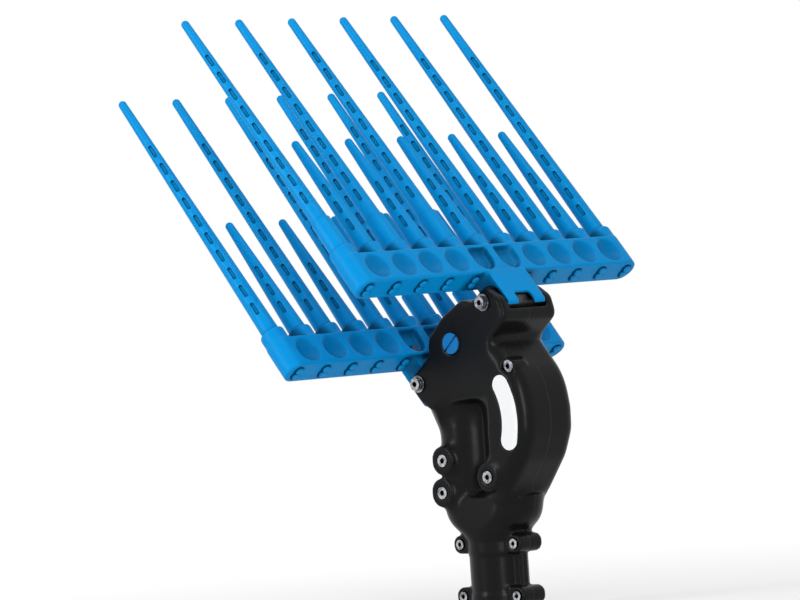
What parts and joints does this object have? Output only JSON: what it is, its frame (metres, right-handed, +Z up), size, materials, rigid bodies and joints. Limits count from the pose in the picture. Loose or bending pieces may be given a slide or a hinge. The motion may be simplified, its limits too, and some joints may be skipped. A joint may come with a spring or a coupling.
{
  "type": "electric olive harvester head",
  "caption": "Pole-mounted olive harvester head: two leaning tined combs swing against each other, driven by a motor in a two-half housing with a pole clamp.",
  "frame": {"origin": "centre of the pole socket's lower end", "axes": "+Z up along the pole, +X along the comb bars, +Y the way the tines lean"},
  "size_m": [0.343, 0.331, 0.5205],
  "materials": {
    "blue_plastic": "satin moulded nylon, blue",
    "blue_bar": "satin moulded nylon, blue",
    "black_plastic": "satin moulded glass-filled nylon, black",
    "white_inlay": "plain white inlay",
    "blue_plug": "turned plug, blue",
    "zinc_steel": "bright zinc-plated steel",
    "black_steel": "blackened steel",
    "steel": "ground steel",
    "cast_lever": "die-cast aluminium",
    "bronze": "sintered bronze",
    "motor_aluminium": "turned aluminium",
    "lamination": "stacked electrical steel",
    "copper": "enamelled copper wire",
    "rubber_seal": "nitrile O-ring",
    "lead_rubber": "rubber-covered lead",
    "connector_plastic": "moulded inlet, dark grey"
  },
  "bodies": {
    "housing": {"left_housing": "black_plastic", "right_housing": "black_plastic", "side_inlay": "white_inlay", "housing_screws": "zinc_steel", "clamp_screws": "zinc_steel", "clamp_nuts": "zinc_steel", "grease_plug": "blue_plug", "plug_seal": "rubber_seal", "pivot_screws": "zinc_steel", "pivot_washers": "zinc_steel", "front_axle": "steel", "rear_axle": "steel", "motor_case": "motor_aluminium", "motor_cap": "motor_aluminium", "motor_stator": "lamination", "motor_windings": "copper", "motor_bearings": "steel", "motor_screws": "zinc_steel", "lead_connector": "connector_plastic", "motor_lead": "lead_rubber"},
    "front_comb": {"front_comb_bar": "blue_bar", "front_lever": "cast_lever", "front_bushes": "bronze", "front_comb_screws": "black_steel", "front_tine_01": "blue_plastic", "front_tine_02": "blue_plastic", "front_tine_03": "blue_plastic", "front_tine_04": "blue_plastic", "front_tine_05": "blue_plastic", "front_tine_06": "blue_plastic", "front_tine_07": "blue_plastic", "front_tine_08": "blue_plastic", "front_tine_09": "blue_plastic", "front_tine_10": "blue_plastic", "front_tine_11": "blue_plastic"},
    "rear_comb": {"rear_comb_bar": "blue_bar", "rear_lever": "cast_lever", "rear_bushes": "bronze", "rear_comb_screws": "black_steel", "rear_tine_01": "blue_plastic", "rear_tine_02": "blue_plastic", "rear_tine_03": "blue_plastic", "rear_tine_04": "blue_plastic", "rear_tine_05": "blue_plastic", "rear_tine_06": "blue_plastic", "rear_tine_07": "blue_plastic", "rear_tine_08": "blue_plastic", "rear_tine_09": "blue_plastic", "rear_tine_10": "blue_plastic", "rear_tine_11": "blue_plastic"},
    "crank": {"crank": "steel", "motor_shaft": "steel", "motor_rotor": "lamination"},
    "roller": {"crank_roller": "steel"}
  },
  "joints": [
    {"name": "front_comb_swing", "type": "hinge", "parent": "housing", "child": "front_comb", "pos_m": [0, -0.0331, 0.26424], "axis": [1, 0, 0], "range_deg": [-7, 7]},
    {"name": "rear_comb_swing", "type": "hinge", "parent": "housing", "child": "rear_comb", "pos_m": [0, 0.0485, 0.19816], "axis": [1, 0, 0], "range_deg": [-7, 7]},
    {"name": "crank_spin", "type": "hinge", "parent": "housing", "child": "crank", "pos_m": [0, 0.023, 0.16], "axis": [0, 0, 1], "continuous": true},
    {"name": "roller_spin", "type": "hinge", "parent": "crank", "child": "roller", "pos_m": [0.0027, 0.023, 0.176], "axis": [0, 0, 1], "continuous": true}
  ],
  "couplings": [
    {"joint": "rear_comb_swing", "follows": "front_comb_swing", "ratio": -1}
  ]
}
